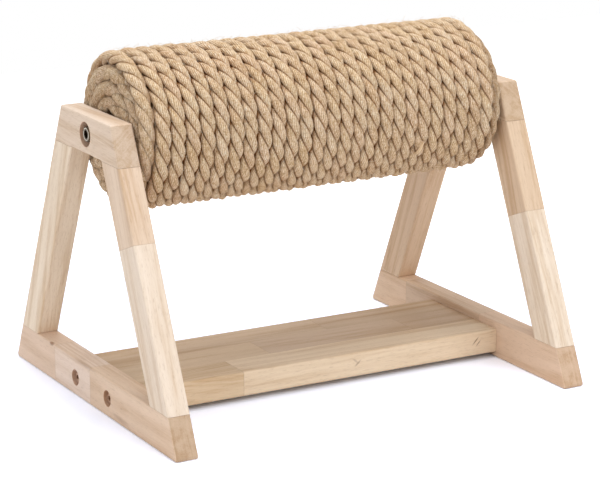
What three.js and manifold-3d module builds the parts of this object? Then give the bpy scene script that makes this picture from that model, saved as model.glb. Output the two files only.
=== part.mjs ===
// Scratching roller for cats: a rope-wound drum that turns between two timber A-frames,
// which a flat base board holds apart.
// Millimetres, +Z up. X runs along the drum, the front is at -Y, and the origin is the
// middle of the footprint on the floor.

import * as THREE from "three";
import { mergeVertices } from "three/addons/utils/BufferGeometryUtils.js";
import Module from "manifold-3d";

const wasm = await Module();
wasm.setup();

// ---------------------------------------------------------------- driving dimensions

// End frames, each a block, two legs and a rail of the same board
const OVERALL_LENGTH = 471; // X, between the outer faces of the two frames
const FRAME_HEIGHT = 300;
const FRAME_DEPTH_AT_FLOOR = 388; // Y
const FRAME_DEPTH_AT_TOP = 117; // Y
const FRAME_THICKNESS = 24; // X
const RAIL_HEIGHT = 40;
const BLOCK_HEIGHT = 39;
const LEG_WIDTH = 37; // square to the leg
const EDGE_ROUND = 2; // of every arris on the two faces of a frame
const CORNER_RADIUS = 2.5; // of the outline's four corners

// Dowels across the butt joints of the legs
const DOWEL_DIAMETER = 8;
const DOWEL_LENGTH = 25;
const DOWEL_SPACING = 14;

// Base board between the two rails
const BOARD_WIDTH = 132; // Y
const BOARD_THICKNESS = 26; // Z
const BOARD_FLOOR_CLEARANCE = 6;
const BOARD_EDGE_ROUND = 2.5;

// Bolts that draw each rail against the board
const BASE_BOLT_SPACING = 77;
const BASE_BOLT_DIAMETER = 6;
const BASE_BOLT_LENGTH = 40;
const BASE_BOLT_HEAD_DIAMETER = 10;
const BASE_BOLT_HEAD_HEIGHT = 6;
const BASE_BOLT_SOCKET_WIDTH = 5;
const BASE_BOLT_SOCKET_DEPTH = 3;
const BASE_BOLT_RECESS = 2.5; // from the rail's face to the head
const BASE_WASHER_DIAMETER = 12;
const BASE_WASHER_THICKNESS = 1.6;
const BASE_COUNTERBORE_DIAMETER = 17;
const BASE_INSERT_DIAMETER = 10;
const BASE_INSERT_LENGTH = 20;

// Bolts and sleeves that the drum turns on
const AXLE_BOLT_DIAMETER = 10;
const AXLE_BOLT_LENGTH = 55;
const AXLE_BOLT_HEAD_DIAMETER = 16;
const AXLE_BOLT_HEAD_HEIGHT = 10;
const AXLE_BOLT_SOCKET_WIDTH = 8;
const AXLE_BOLT_SOCKET_DEPTH = 5;
const AXLE_BOLT_RECESS = 1; // from the block's face to the head
const AXLE_WASHER_DIAMETER = 20;
const AXLE_WASHER_THICKNESS = 2;
const AXLE_COUNTERBORE_DIAMETER = 25.4;
const SLEEVE_DIAMETER = 14;
const AXLE_INSERT_DIAMETER = 16;
const AXLE_INSERT_LENGTH = 18;

// Drum core and the rope wound on it
const TUBE_DIAMETER = 130;
const TUBE_WALL = 5;
const DISC_THICKNESS = 20;
const ROPE_DIAMETER = 15.2;
const TURN_GAP = 0.45; // between neighbouring turns
const ROPE_TO_FRAME = 1.2; // from the wound end face to the frame
const HUB_RADIUS = 24; // of the rope's middle line where it leaves the spiral for its cut end
const HUB_END_TURN_IN = THREE.MathUtils.degToRad(40);
const RIM_SPREAD = 6; // extra advance of the turn that crosses the drum's rim
const RIM_SPREAD_TURNS = 1.5;

// Clearances
const SEAT_GAP = 0.3; // between pieces that seat on each other
const BORE_CLEARANCE = 0.3; // radial, round dowels, shanks, inserts and sleeves
const END_ROOM = 0.5; // beyond the end of a dowel, an insert or a bolt in its blind hole

// Facets of the round pieces
const DRUM_SIDES = 48;
const FASTENER_SIDES = 20;
const DOWEL_SIDES = 12;
const ROPE_STEPS = 24; // in one turn

// ---------------------------------------------------------------- derived dimensions

const LEG_SLOPE = (FRAME_DEPTH_AT_FLOOR - FRAME_DEPTH_AT_TOP) / 2 / FRAME_HEIGHT;
const LEG_SPAN = LEG_WIDTH * Math.hypot(1, LEG_SLOPE); // the leg's width measured along Y
const LEG_BOTTOM = RAIL_HEIGHT;
const LEG_TOP = FRAME_HEIGHT - BLOCK_HEIGHT;
const AXLE_HEIGHT = FRAME_HEIGHT - BLOCK_HEIGHT / 2;
const BOARD_MIDDLE = BOARD_FLOOR_CLEARANCE + BOARD_THICKNESS / 2;
const BOARD_LENGTH = OVERALL_LENGTH - 2 * (FRAME_THICKNESS + SEAT_GAP);

// Distances inwards from a frame's outer face
const BASE_HEAD_SEAT = BASE_BOLT_RECESS + BASE_BOLT_HEAD_HEIGHT;
const BASE_WASHER_START = BASE_HEAD_SEAT + SEAT_GAP;
const BASE_BORE_FLOOR = BASE_WASHER_START + BASE_WASHER_THICKNESS + SEAT_GAP;
const BOARD_END = FRAME_THICKNESS + SEAT_GAP;
const AXLE_HEAD_SEAT = AXLE_BOLT_RECESS + AXLE_BOLT_HEAD_HEIGHT;
const AXLE_WASHER_START = AXLE_HEAD_SEAT + SEAT_GAP;
const AXLE_BORE_FLOOR = AXLE_WASHER_START + AXLE_WASHER_THICKNESS + SEAT_GAP;
const DRUM_END = FRAME_THICKNESS + ROPE_TO_FRAME + ROPE_DIAMETER + SEAT_GAP;
const SLEEVE_LENGTH = DRUM_END - SEAT_GAP - AXLE_BORE_FLOOR;

const TUBE_LENGTH = OVERALL_LENGTH - 2 * DRUM_END;
const TUBE_BORE_RADIUS = TUBE_DIAMETER / 2 - TUBE_WALL;
const ROPE_RADIUS = ROPE_DIAMETER / 2;
const ROPE_PITCH = ROPE_DIAMETER + TURN_GAP;

// ---------------------------------------------------------------- solids and meshes

function solidOf(geometry) {
  const bare = new THREE.BufferGeometry();
  bare.setAttribute("position", geometry.getAttribute("position"));
  bare.setIndex(geometry.index);
  const merged = mergeVertices(bare, 1e-4);
  return new wasm.Manifold(
    new wasm.Mesh({
      numProp: 3,
      vertProperties: merged.attributes.position.array,
      triVerts: new Uint32Array(merged.index.array),
    }),
  );
}

function geometryOf(solid) {
  const mesh = solid.getMesh();
  const geometry = new THREE.BufferGeometry();
  geometry.setAttribute("position", new THREE.BufferAttribute(mesh.vertProperties, 3));
  geometry.setIndex(new THREE.BufferAttribute(mesh.triVerts, 1));
  geometry.computeVertexNormals();
  return geometry;
}

// A shape drawn in (Y, Z) and extruded to +Z becomes a solid extruded along +X.
function turnExtrusionToX(geometry) {
  const basis = new THREE.Matrix4().makeBasis(
    new THREE.Vector3(0, 1, 0),
    new THREE.Vector3(0, 0, 1),
    new THREE.Vector3(1, 0, 0),
  );
  return geometry.applyMatrix4(basis);
}

// A profile of [distance along X, radius] points, anticlockwise, revolved about the X axis.
function revolvedAboutX(profile, sides) {
  const points = profile.map(([along, radius]) => new THREE.Vector2(radius, along));
  return new THREE.LatheGeometry(points, sides).rotateZ(-Math.PI / 2);
}

function rodAlongX(radius, start, end, sides) {
  return revolvedAboutX([[start, 0], [start, radius], [end, radius], [end, 0]], sides);
}

function ringAlongX(boreRadius, radius, start, end, sides) {
  const section = [[start, boreRadius], [start, radius], [end, radius], [end, boreRadius]];
  return revolvedAboutX([...section, section[0]], sides);
}

function rodAlongZ(radius, bottom, top, sides) {
  return new THREE.CylinderGeometry(radius, radius, top - bottom, sides)
    .rotateX(Math.PI / 2)
    .translate(0, 0, (bottom + top) / 2);
}

// Adds the corners to a path as one closed outline, each rounded by an arc.
function addRoundedOutline(path, corners, radius) {
  corners.forEach((corner, i) => {
    const toBefore = corners.at(i - 1).clone().sub(corner).normalize();
    const toAfter = corners[(i + 1) % corners.length].clone().sub(corner).normalize();
    const halfAngle = toBefore.angleTo(toAfter) / 2;
    const inwards = toBefore.clone().add(toAfter).setLength(radius / Math.sin(halfAngle));
    const centre = corner.clone().add(inwards);
    const tangentLength = radius / Math.tan(halfAngle);
    const start = toBefore.multiplyScalar(tangentLength).add(corner).sub(centre);
    const end = toAfter.multiplyScalar(tangentLength).add(corner).sub(centre);
    path.absarc(centre.x, centre.y, radius, start.angle(), end.angle(), false);
  });
  path.closePath();
  return path;
}

// ---------------------------------------------------------------- materials

const timber = new THREE.MeshStandardMaterial({ color: "#dcc0a2", roughness: 0.62, metalness: 0 });
const dowelWood = new THREE.MeshStandardMaterial({ color: "#c9a477", roughness: 0.7, metalness: 0 });
const paperboard = new THREE.MeshStandardMaterial({ color: "#a58661", roughness: 0.85, metalness: 0 });
const jute = new THREE.MeshStandardMaterial({ color: "#bb9c74", roughness: 0.92, metalness: 0 });
const steel = new THREE.MeshStandardMaterial({ color: "#b4b2ae", roughness: 0.32, metalness: 1 });

function namedMesh(name, geometry, material) {
  const mesh = new THREE.Mesh(geometry, material);
  mesh.name = name;
  return mesh;
}

// ---------------------------------------------------------------- end frames
// A frame is built with its outer face at x = 0 and its thickness towards +X.

const outerEdgeAt = (z) => FRAME_DEPTH_AT_FLOOR / 2 - LEG_SLOPE * z;
const innerEdgeAt = (z) => outerEdgeAt(z) - LEG_SPAN;

// The four members as one rounded blank, with the opening between them.
function frameBlank() {
  const corner = (y, z) => new THREE.Vector2(y, z);
  const outline = addRoundedOutline(
    new THREE.Shape(),
    [
      corner(-outerEdgeAt(0), 0),
      corner(outerEdgeAt(0), 0),
      corner(outerEdgeAt(FRAME_HEIGHT), FRAME_HEIGHT),
      corner(-outerEdgeAt(FRAME_HEIGHT), FRAME_HEIGHT),
    ],
    CORNER_RADIUS,
  );
  const opening = new THREE.Path([
    corner(-innerEdgeAt(LEG_BOTTOM), LEG_BOTTOM),
    corner(-innerEdgeAt(LEG_TOP), LEG_TOP),
    corner(innerEdgeAt(LEG_TOP), LEG_TOP),
    corner(innerEdgeAt(LEG_BOTTOM), LEG_BOTTOM),
  ]);
  outline.holes.push(opening);
  const blank = new THREE.ExtrudeGeometry(outline, {
    depth: FRAME_THICKNESS - 2 * EDGE_ROUND,
    bevelThickness: EDGE_ROUND,
    bevelSize: EDGE_ROUND,
    bevelOffset: -EDGE_ROUND,
    bevelSegments: 2,
    curveSegments: 2,
  });
  return solidOf(turnExtrusionToX(blank.translate(0, 0, EDGE_ROUND)));
}

// A box over the whole thickness that picks one member out of the blank.
function memberRegion(yFrom, yTo, zFrom, zTo) {
  const region = new THREE.BoxGeometry(2 * FRAME_THICKNESS, yTo - yFrom, zTo - zFrom);
  region.translate(FRAME_THICKNESS / 2, (yFrom + yTo) / 2, (zFrom + zTo) / 2);
  return solidOf(region);
}

// The dowel pairs across one butt joint: half of the leg's width in from its outer edge.
function dowelPlaces(jointHeight) {
  const legMiddle = outerEdgeAt(jointHeight) - LEG_SPAN / 2;
  return [-1, 1].flatMap((legSide) =>
    [-1, 1].map((pairSide) => ({
      legSide,
      pairSide,
      y: legSide * (legMiddle + (pairSide * DOWEL_SPACING) / 2),
    })),
  );
}

function withDowelHoles(member, jointHeight) {
  const reach = DOWEL_LENGTH / 2 + END_ROOM;
  const radius = DOWEL_DIAMETER / 2 + BORE_CLEARANCE;
  return dowelPlaces(jointHeight).reduce((drilled, { y }) => {
    const hole = rodAlongZ(radius, jointHeight - reach, jointHeight + reach, DOWEL_SIDES);
    return drilled.subtract(solidOf(hole.translate(FRAME_THICKNESS / 2, y, 0)));
  }, member);
}

// A counterbore from the outer face and a through bore, at a height and a place along Y.
function withBoltBore(member, y, z, counterboreDiameter, floor, boreDiameter) {
  const counterbore = rodAlongX(counterboreDiameter / 2, -FRAME_THICKNESS, floor, FASTENER_SIDES);
  const bore = rodAlongX(
    boreDiameter / 2 + BORE_CLEARANCE, 0, 2 * FRAME_THICKNESS, FASTENER_SIDES,
  );
  return member
    .subtract(solidOf(counterbore.translate(0, y, z)))
    .subtract(solidOf(bore.translate(0, y, z)));
}

const baseBoltPlaces = [-BASE_BOLT_SPACING / 2, BASE_BOLT_SPACING / 2];

function bottomRail(blank) {
  const reach = FRAME_DEPTH_AT_FLOOR;
  const rail = blank.intersect(memberRegion(-reach, reach, -1, LEG_BOTTOM - SEAT_GAP / 2));
  return baseBoltPlaces.reduce(
    (drilled, y) =>
      withBoltBore(
        drilled, y, BOARD_MIDDLE, BASE_COUNTERBORE_DIAMETER, BASE_BORE_FLOOR, BASE_BOLT_DIAMETER,
      ),
    withDowelHoles(rail, LEG_BOTTOM),
  );
}

function topBlock(blank) {
  const reach = FRAME_DEPTH_AT_FLOOR;
  const top = FRAME_HEIGHT + 1;
  const block = blank.intersect(memberRegion(-reach, reach, LEG_TOP + SEAT_GAP / 2, top));
  return withBoltBore(
    withDowelHoles(block, LEG_TOP),
    0, AXLE_HEIGHT, AXLE_COUNTERBORE_DIAMETER, AXLE_BORE_FLOOR, SLEEVE_DIAMETER,
  );
}

function leg(blank, legSide) {
  const reach = legSide * FRAME_DEPTH_AT_FLOOR;
  const region = memberRegion(
    Math.min(0, reach), Math.max(0, reach), LEG_BOTTOM + SEAT_GAP / 2, LEG_TOP - SEAT_GAP / 2,
  );
  return withDowelHoles(withDowelHoles(blank.intersect(region), LEG_BOTTOM), LEG_TOP);
}

function dowel(y, jointHeight) {
  const half = DOWEL_LENGTH / 2;
  return rodAlongZ(DOWEL_DIAMETER / 2, jointHeight - half, jointHeight + half, DOWEL_SIDES)
    .translate(FRAME_THICKNESS / 2, y, 0);
}

// ---------------------------------------------------------------- base board

function baseBoard() {
  const corner = (signY, signZ) =>
    new THREE.Vector2((signY * BOARD_WIDTH) / 2, (signZ * BOARD_THICKNESS) / 2);
  const section = addRoundedOutline(
    new THREE.Shape(),
    [corner(-1, -1), corner(1, -1), corner(1, 1), corner(-1, 1)],
    BOARD_EDGE_ROUND,
  );
  const plank = turnExtrusionToX(
    new THREE.ExtrudeGeometry(section, { depth: BOARD_LENGTH, bevelEnabled: false, curveSegments: 2 }),
  );
  plank.translate(-BOARD_LENGTH / 2, 0, BOARD_MIDDLE);
  // Each end takes an insert, and room behind it for the tip of the bolt.
  const tip = BASE_HEAD_SEAT + BASE_BOLT_LENGTH - BOARD_END + END_ROOM;
  const holeDepth = Math.max(tip, BASE_INSERT_LENGTH + END_ROOM);
  const holeRadius = BASE_INSERT_DIAMETER / 2 + BORE_CLEARANCE;
  let board = solidOf(plank);
  for (const end of [-1, 1]) {
    for (const y of baseBoltPlaces) {
      const inside = end * (BOARD_LENGTH / 2 - holeDepth);
      const outside = end * BOARD_LENGTH;
      const hole = rodAlongX(
        holeRadius, Math.min(inside, outside), Math.max(inside, outside), FASTENER_SIDES,
      );
      board = board.subtract(solidOf(hole.translate(0, y, BOARD_MIDDLE)));
    }
  }
  return geometryOf(board);
}

// ---------------------------------------------------------------- fasteners
// Each lies along +X, with x counted from the frame's outer face.

function socketHeadBolt(size) {
  const chamfer = size.headHeight / 10;
  const headRadius = size.headDiameter / 2;
  const shankRadius = size.diameter / 2;
  const seat = size.start + size.headHeight;
  const tip = seat + size.length;
  const body = revolvedAboutX(
    [
      [size.start, 0],
      [size.start, headRadius - chamfer],
      [size.start + chamfer, headRadius],
      [seat, headRadius],
      [seat, shankRadius],
      [tip - chamfer, shankRadius],
      [tip, shankRadius - chamfer],
      [tip, 0],
    ],
    FASTENER_SIDES,
  );
  const socketRadius = size.socketWidth / Math.sqrt(3);
  const socket = rodAlongX(socketRadius, size.start - 1, size.start + size.socketDepth, 6);
  return geometryOf(solidOf(body).subtract(solidOf(socket)));
}

const baseBolt = () =>
  socketHeadBolt({
    start: BASE_BOLT_RECESS,
    diameter: BASE_BOLT_DIAMETER,
    length: BASE_BOLT_LENGTH,
    headDiameter: BASE_BOLT_HEAD_DIAMETER,
    headHeight: BASE_BOLT_HEAD_HEIGHT,
    socketWidth: BASE_BOLT_SOCKET_WIDTH,
    socketDepth: BASE_BOLT_SOCKET_DEPTH,
  });

const axleBolt = () =>
  socketHeadBolt({
    start: AXLE_BOLT_RECESS,
    diameter: AXLE_BOLT_DIAMETER,
    length: AXLE_BOLT_LENGTH,
    headDiameter: AXLE_BOLT_HEAD_DIAMETER,
    headHeight: AXLE_BOLT_HEAD_HEIGHT,
    socketWidth: AXLE_BOLT_SOCKET_WIDTH,
    socketDepth: AXLE_BOLT_SOCKET_DEPTH,
  });

// A washer, sleeve or insert round a shank.
const ringOnShank = (shankDiameter, diameter, start, length) =>
  ringAlongX(shankDiameter / 2 + BORE_CLEARANCE, diameter / 2, start, start + length, FASTENER_SIDES);

const baseWasher = () =>
  ringOnShank(BASE_BOLT_DIAMETER, BASE_WASHER_DIAMETER, BASE_WASHER_START, BASE_WASHER_THICKNESS);
const baseInsert = () =>
  ringOnShank(BASE_BOLT_DIAMETER, BASE_INSERT_DIAMETER, BOARD_END, BASE_INSERT_LENGTH);
const axleWasher = () =>
  ringOnShank(AXLE_BOLT_DIAMETER, AXLE_WASHER_DIAMETER, AXLE_WASHER_START, AXLE_WASHER_THICKNESS);
const axleSleeve = () =>
  ringOnShank(AXLE_BOLT_DIAMETER, SLEEVE_DIAMETER, AXLE_BORE_FLOOR, SLEEVE_LENGTH);
const axleInsert = () =>
  ringOnShank(AXLE_BOLT_DIAMETER, AXLE_INSERT_DIAMETER, DRUM_END, AXLE_INSERT_LENGTH);

// ---------------------------------------------------------------- drum core

const drumTube = () =>
  ringAlongX(TUBE_BORE_RADIUS, TUBE_DIAMETER / 2, -TUBE_LENGTH / 2, TUBE_LENGTH / 2, DRUM_SIDES);

// A plug in the tube's end, with x counted from the frame's outer face.
const endDisc = () =>
  ringAlongX(
    AXLE_INSERT_DIAMETER / 2 + BORE_CLEARANCE,
    TUBE_BORE_RADIUS - BORE_CLEARANCE,
    DRUM_END,
    DRUM_END + DISC_THICKNESS,
    DRUM_SIDES,
  );

// ---------------------------------------------------------------- rope
// The rope winds along the drum, crosses each rim, and lies in a flat spiral on each end.
// A turn of 0 is the middle of the drum at the front. Its x and its angle both grow with the
// turn, so half a rope turned about Y is the other half.

const DRUM_HALF = TUBE_LENGTH / 2;
const TUBE_RADIUS = TUBE_DIAMETER / 2;
// The flats of a stepped turn come closer to the tube than its corners, by this share.
const STEP_SHARE = Math.cos(Math.PI / ROPE_STEPS);
const WINDING_RADIUS = (TUBE_RADIUS + SEAT_GAP + ROPE_RADIUS) / STEP_SHARE;
const RIM_RISE = WINDING_RADIUS - TUBE_RADIUS;
const RIM_REACH = ROPE_RADIUS + SEAT_GAP;
const RIM_LENGTH = ((RIM_RISE + RIM_REACH) / 2) * (Math.PI / 2);
const FACE_START = DRUM_HALF + RIM_LENGTH;

// The last whole turn on the drum ends half a rope short of the rim. The rope is parted there.
const PARTING_TURN = (DRUM_HALF - ROPE_RADIUS) / ROPE_PITCH;
const HUB_TURN = (FACE_START + TUBE_RADIUS - HUB_RADIUS - RIM_SPREAD) / ROPE_PITCH;

// A six-sided section: [along the drum's outline, out from the drum].
const ROPE_SECTION = [
  [1, 0], [0.5, 1], [-0.5, 1], [-1, 0], [-0.5, -1], [0.5, -1],
].map(([along, out]) => [along * ROPE_RADIUS, out * ROPE_RADIUS]);

// The rope's middle line at a distance along the drum's outline: along the drum, round its
// rim, and down its end face. The tilt turns from the drum's normal to the face's.
function outlineAt(distance) {
  if (distance < DRUM_HALF) {
    return { x: distance, radius: WINDING_RADIUS, tilt: 0 };
  }
  if (distance < FACE_START) {
    const tilt = ((distance - DRUM_HALF) / RIM_LENGTH) * (Math.PI / 2);
    return {
      x: DRUM_HALF + RIM_REACH * Math.sin(tilt),
      radius: TUBE_RADIUS + RIM_RISE * Math.cos(tilt),
      tilt,
    };
  }
  return {
    x: DRUM_HALF + RIM_REACH,
    radius: TUBE_RADIUS - (distance - FACE_START),
    tilt: Math.PI / 2,
  };
}

// Out from the axle at an angle counted from the front, upwards.
const outwardsAt = (angle) => new THREE.Vector3(0, -Math.cos(angle), Math.sin(angle));
const onwardsAt = (angle) => new THREE.Vector3(0, Math.sin(angle), Math.cos(angle));

function stationAt(turn) {
  const spread = THREE.MathUtils.smoothstep(
    turn, PARTING_TURN, PARTING_TURN + RIM_SPREAD_TURNS,
  );
  const { x, radius, tilt } = outlineAt(turn * ROPE_PITCH + spread * RIM_SPREAD);
  const angle = turn * 2 * Math.PI;
  const middle = outwardsAt(angle).multiplyScalar(radius).add(new THREE.Vector3(x, 0, 0));
  return { turn, middle, angle, tilt };
}

// The same section carried straight on along the rope.
function carriedOn(station, length) {
  const step = 1e-3;
  const direction = stationAt(station.turn + step).middle
    .sub(stationAt(station.turn - step).middle)
    .normalize();
  return { ...station, middle: station.middle.clone().addScaledVector(direction, length) };
}

// The cut end at the hub turns in and runs straight for one rope diameter.
function hubEnd() {
  const bend = stationAt(HUB_TURN);
  bend.angle += HUB_END_TURN_IN;
  const middle = bend.middle.clone().addScaledVector(onwardsAt(bend.angle), ROPE_DIAMETER);
  return [bend, { ...bend, middle }];
}

// Stepped stations between two turns, two steps clear of each.
function stationsBetween(from, to) {
  const clear = 2;
  const steps = Math.round((to - from) * ROPE_STEPS);
  return Array.from({ length: steps + 1 - 2 * clear }, (_, i) =>
    stationAt(from + ((to - from) * (i + clear)) / steps),
  );
}

// The turns along the drum, with an end that runs straight for one diameter at each rim.
function drumWindingStations() {
  const last = stationAt(PARTING_TURN);
  const first = stationAt(-PARTING_TURN);
  return [
    first,
    carriedOn(first, ROPE_DIAMETER),
    ...stationsBetween(-PARTING_TURN, PARTING_TURN),
    carriedOn(last, -ROPE_DIAMETER),
    last,
  ];
}

function endSpiralStations() {
  const start = stationAt(PARTING_TURN);
  return [
    carriedOn(start, SEAT_GAP),
    carriedOn(start, SEAT_GAP + ROPE_DIAMETER),
    ...stationsBetween(PARTING_TURN, HUB_TURN),
    ...hubEnd(),
  ];
}

// The corners of the rope's section at a station.
function sectionAt({ middle, angle, tilt }) {
  const outwards = outwardsAt(angle);
  const along = new THREE.Vector3(Math.cos(tilt), 0, 0).addScaledVector(outwards, -Math.sin(tilt));
  const out = new THREE.Vector3(Math.sin(tilt), 0, 0).addScaledVector(outwards, Math.cos(tilt));
  return ROPE_SECTION.map(([a, b]) =>
    middle.clone().addScaledVector(along, a).addScaledVector(out, b),
  );
}

// One unbroken tube through the stations, closed by a flat face at each end.
function ropeGeometry(stations) {
  const sides = ROPE_SECTION.length;
  const corners = stations.flatMap(sectionAt);
  const index = [];
  for (let i = 0; i + 1 < stations.length; i++) {
    for (let k = 0; k < sides; k++) {
      const here = i * sides + k;
      const beside = i * sides + ((k + 1) % sides);
      index.push(here, here + sides, beside);
      index.push(beside, here + sides, beside + sides);
    }
  }
  const lastRing = (stations.length - 1) * sides;
  for (let k = 1; k + 1 < sides; k++) {
    index.push(0, k, k + 1);
    index.push(lastRing, lastRing + k + 1, lastRing + k);
  }
  const geometry = new THREE.BufferGeometry().setFromPoints(corners);
  geometry.setIndex(index);
  geometry.computeVertexNormals();
  return geometry;
}

// Points on a tube's surface: four along each side of each section, and half way to the next.
function surfacePoints(stations) {
  const parts = 4;
  const sections = stations.map((station) => {
    const corners = sectionAt(station);
    return corners.flatMap((corner, k) => {
      const next = corners[(k + 1) % corners.length];
      return Array.from({ length: parts }, (_, i) => corner.clone().lerp(next, i / parts));
    });
  });
  return sections.flatMap((points, i) => {
    const turn = stations[i].turn;
    const here = points.map((point) => ({ turn, point }));
    if (i + 1 === sections.length) {
      return here;
    }
    const between = points.map((point, k) => ({
      turn: (turn + stations[i + 1].turn) / 2,
      point: point.clone().lerp(sections[i + 1][k], 0.5),
    }));
    return [...here, ...between];
  });
}

// The least distance between surface points that lie about one turn apart.
function leastGapBetweenTurns(points) {
  const reach = 2.5 / ROPE_STEPS;
  let least = Infinity;
  let low = 0;
  let high = 0;
  for (const { turn, point } of points) {
    while (low < points.length && points[low].turn < turn + 1 - reach) {
      low++;
    }
    while (high < points.length && points[high].turn <= turn + 1 + reach) {
      high++;
    }
    for (const near of points.slice(low, high)) {
      least = Math.min(least, point.distanceTo(near.point));
    }
  }
  return least;
}

// ---------------------------------------------------------------- assembly

const scratchingRoller = new THREE.Group();
const blank = frameBlank();

const sideNames = { left: -1, right: 1 };
for (const [side, sign] of Object.entries(sideNames)) {
  // Both ends are alike: the right one is the left one turned half way round.
  const end = new THREE.Group();
  end.position.x = (sign * OVERALL_LENGTH) / 2;
  end.rotation.z = side === "left" ? 0 : Math.PI;
  scratchingRoller.add(end);
  const nameAlongY = (local) => (local * -sign > 0 ? "back" : "front");

  end.add(namedMesh(`${side}_bottom_rail`, geometryOf(bottomRail(blank)), timber));
  end.add(namedMesh(`${side}_top_block`, geometryOf(topBlock(blank)), timber));
  for (const legSide of [-1, 1]) {
    const name = `${side}_${nameAlongY(legSide)}_leg`;
    end.add(namedMesh(name, geometryOf(leg(blank, legSide)), timber));
  }

  for (const [joint, height] of Object.entries({ rail: LEG_BOTTOM, block: LEG_TOP })) {
    for (const { legSide, pairSide, y } of dowelPlaces(height)) {
      const place = pairSide > 0 ? "outer" : "inner";
      const name = `${side}_${nameAlongY(legSide)}_${joint}_dowel_${place}`;
      end.add(namedMesh(name, dowel(y, height), dowelWood));
    }
  }

  for (const y of baseBoltPlaces) {
    const fastenings = { bolt: baseBolt, washer: baseWasher, insert: baseInsert };
    for (const [piece, build] of Object.entries(fastenings)) {
      const name = `${side}_${nameAlongY(y)}_base_${piece}`;
      end.add(namedMesh(name, build().translate(0, y, BOARD_MIDDLE), steel));
    }
  }

  const axleEnd = new THREE.Group();
  axleEnd.position.z = AXLE_HEIGHT;
  end.add(axleEnd);
  axleEnd.add(namedMesh(`${side}_axle_bolt`, axleBolt(), steel));
  axleEnd.add(namedMesh(`${side}_axle_washer`, axleWasher(), steel));
  axleEnd.add(namedMesh(`${side}_axle_sleeve`, axleSleeve(), steel));
  axleEnd.add(namedMesh(`${side}_axle_insert`, axleInsert(), steel));
  axleEnd.add(namedMesh(`${side}_drum_disc`, endDisc(), dowelWood));
}

scratchingRoller.add(namedMesh("base_board", baseBoard(), timber));

const drum = new THREE.Group();
drum.position.z = AXLE_HEIGHT;
scratchingRoller.add(drum);
drum.add(namedMesh("drum_tube", drumTube(), paperboard));

const windingStations = drumWindingStations();
const spiralStations = endSpiralStations();
drum.add(namedMesh("drum_rope_winding", ropeGeometry(windingStations), jute));
drum.add(namedMesh("right_rope_spiral", ropeGeometry(spiralStations), jute));
const leftSpiral = namedMesh("left_rope_spiral", ropeGeometry(spiralStations), jute);
leftSpiral.rotation.y = Math.PI;
drum.add(leftSpiral);

const windingPoints = surfacePoints(windingStations);
const spiralPoints = surfacePoints(spiralStations);
const gaps = {
  "turns on the drum": leastGapBetweenTurns(windingPoints),
  "turns of a spiral": leastGapBetweenTurns(spiralPoints),
  "winding and spiral": leastGapBetweenTurns([...windingPoints, ...spiralPoints]),
};
for (const [between, gap] of Object.entries(gaps)) {
  console.log(`least rope gap, ${between}: ${gap.toFixed(2)} mm`);
}

export default scratchingRoller;
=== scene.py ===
import math

import bpy
import numpy as np
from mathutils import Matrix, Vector


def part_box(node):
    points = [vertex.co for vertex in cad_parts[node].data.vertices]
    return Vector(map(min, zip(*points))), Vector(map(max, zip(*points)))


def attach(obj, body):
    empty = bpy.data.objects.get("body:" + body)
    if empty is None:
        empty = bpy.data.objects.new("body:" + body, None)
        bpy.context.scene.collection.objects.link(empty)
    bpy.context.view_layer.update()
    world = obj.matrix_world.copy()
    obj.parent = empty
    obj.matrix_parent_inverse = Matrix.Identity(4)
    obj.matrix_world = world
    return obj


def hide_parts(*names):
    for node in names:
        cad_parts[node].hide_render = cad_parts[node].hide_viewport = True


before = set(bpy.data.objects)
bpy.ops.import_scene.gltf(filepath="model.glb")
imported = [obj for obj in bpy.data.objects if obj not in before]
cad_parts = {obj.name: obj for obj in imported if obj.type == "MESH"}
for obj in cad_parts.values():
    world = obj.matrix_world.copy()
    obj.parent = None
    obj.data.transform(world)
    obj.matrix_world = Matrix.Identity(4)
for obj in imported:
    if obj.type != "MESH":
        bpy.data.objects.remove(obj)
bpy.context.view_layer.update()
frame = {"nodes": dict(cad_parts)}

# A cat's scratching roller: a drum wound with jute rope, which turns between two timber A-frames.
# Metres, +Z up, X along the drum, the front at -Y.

nodes = frame["nodes"]


# ---------------------------------------------------------------- places taken from the frame

tube_low, tube_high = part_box("drum_tube")
TUBE_RADIUS = (tube_high.z - tube_low.z) / 2
TUBE_HALF = tube_high.x
AXLE_HEIGHT = (tube_high.z + tube_low.z) / 2


# ---------------------------------------------------------------- meshes from arrays

def mesh_piece(name, vertices, faces, material):
    """An object from an (n, 3) array of vertices and an (m, 3 or 4) array of faces."""
    vertices = np.asarray(vertices, np.float32)
    faces = np.asarray(faces, np.int32)
    sides = faces.shape[1]
    mesh = bpy.data.meshes.new(name)
    mesh.vertices.add(len(vertices))
    mesh.vertices.foreach_set("co", vertices.ravel())
    mesh.loops.add(faces.size)
    mesh.loops.foreach_set("vertex_index", faces.ravel())
    mesh.polygons.add(len(faces))
    mesh.polygons.foreach_set("loop_start", np.arange(0, faces.size, sides, dtype=np.int32))
    mesh.update(calc_edges=True)
    mesh.shade_smooth()
    mesh.materials.append(material)
    piece = bpy.data.objects.new(name, mesh)
    bpy.context.scene.collection.objects.link(piece)
    return piece


def set_attribute(piece, name, values):
    """A number at each vertex, which a material reads by name."""
    attribute = piece.data.attributes.new(name, "FLOAT", "POINT")
    attribute.data.foreach_set("value", np.asarray(values, np.float32).ravel())


# ---------------------------------------------------------------- material helpers

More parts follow.
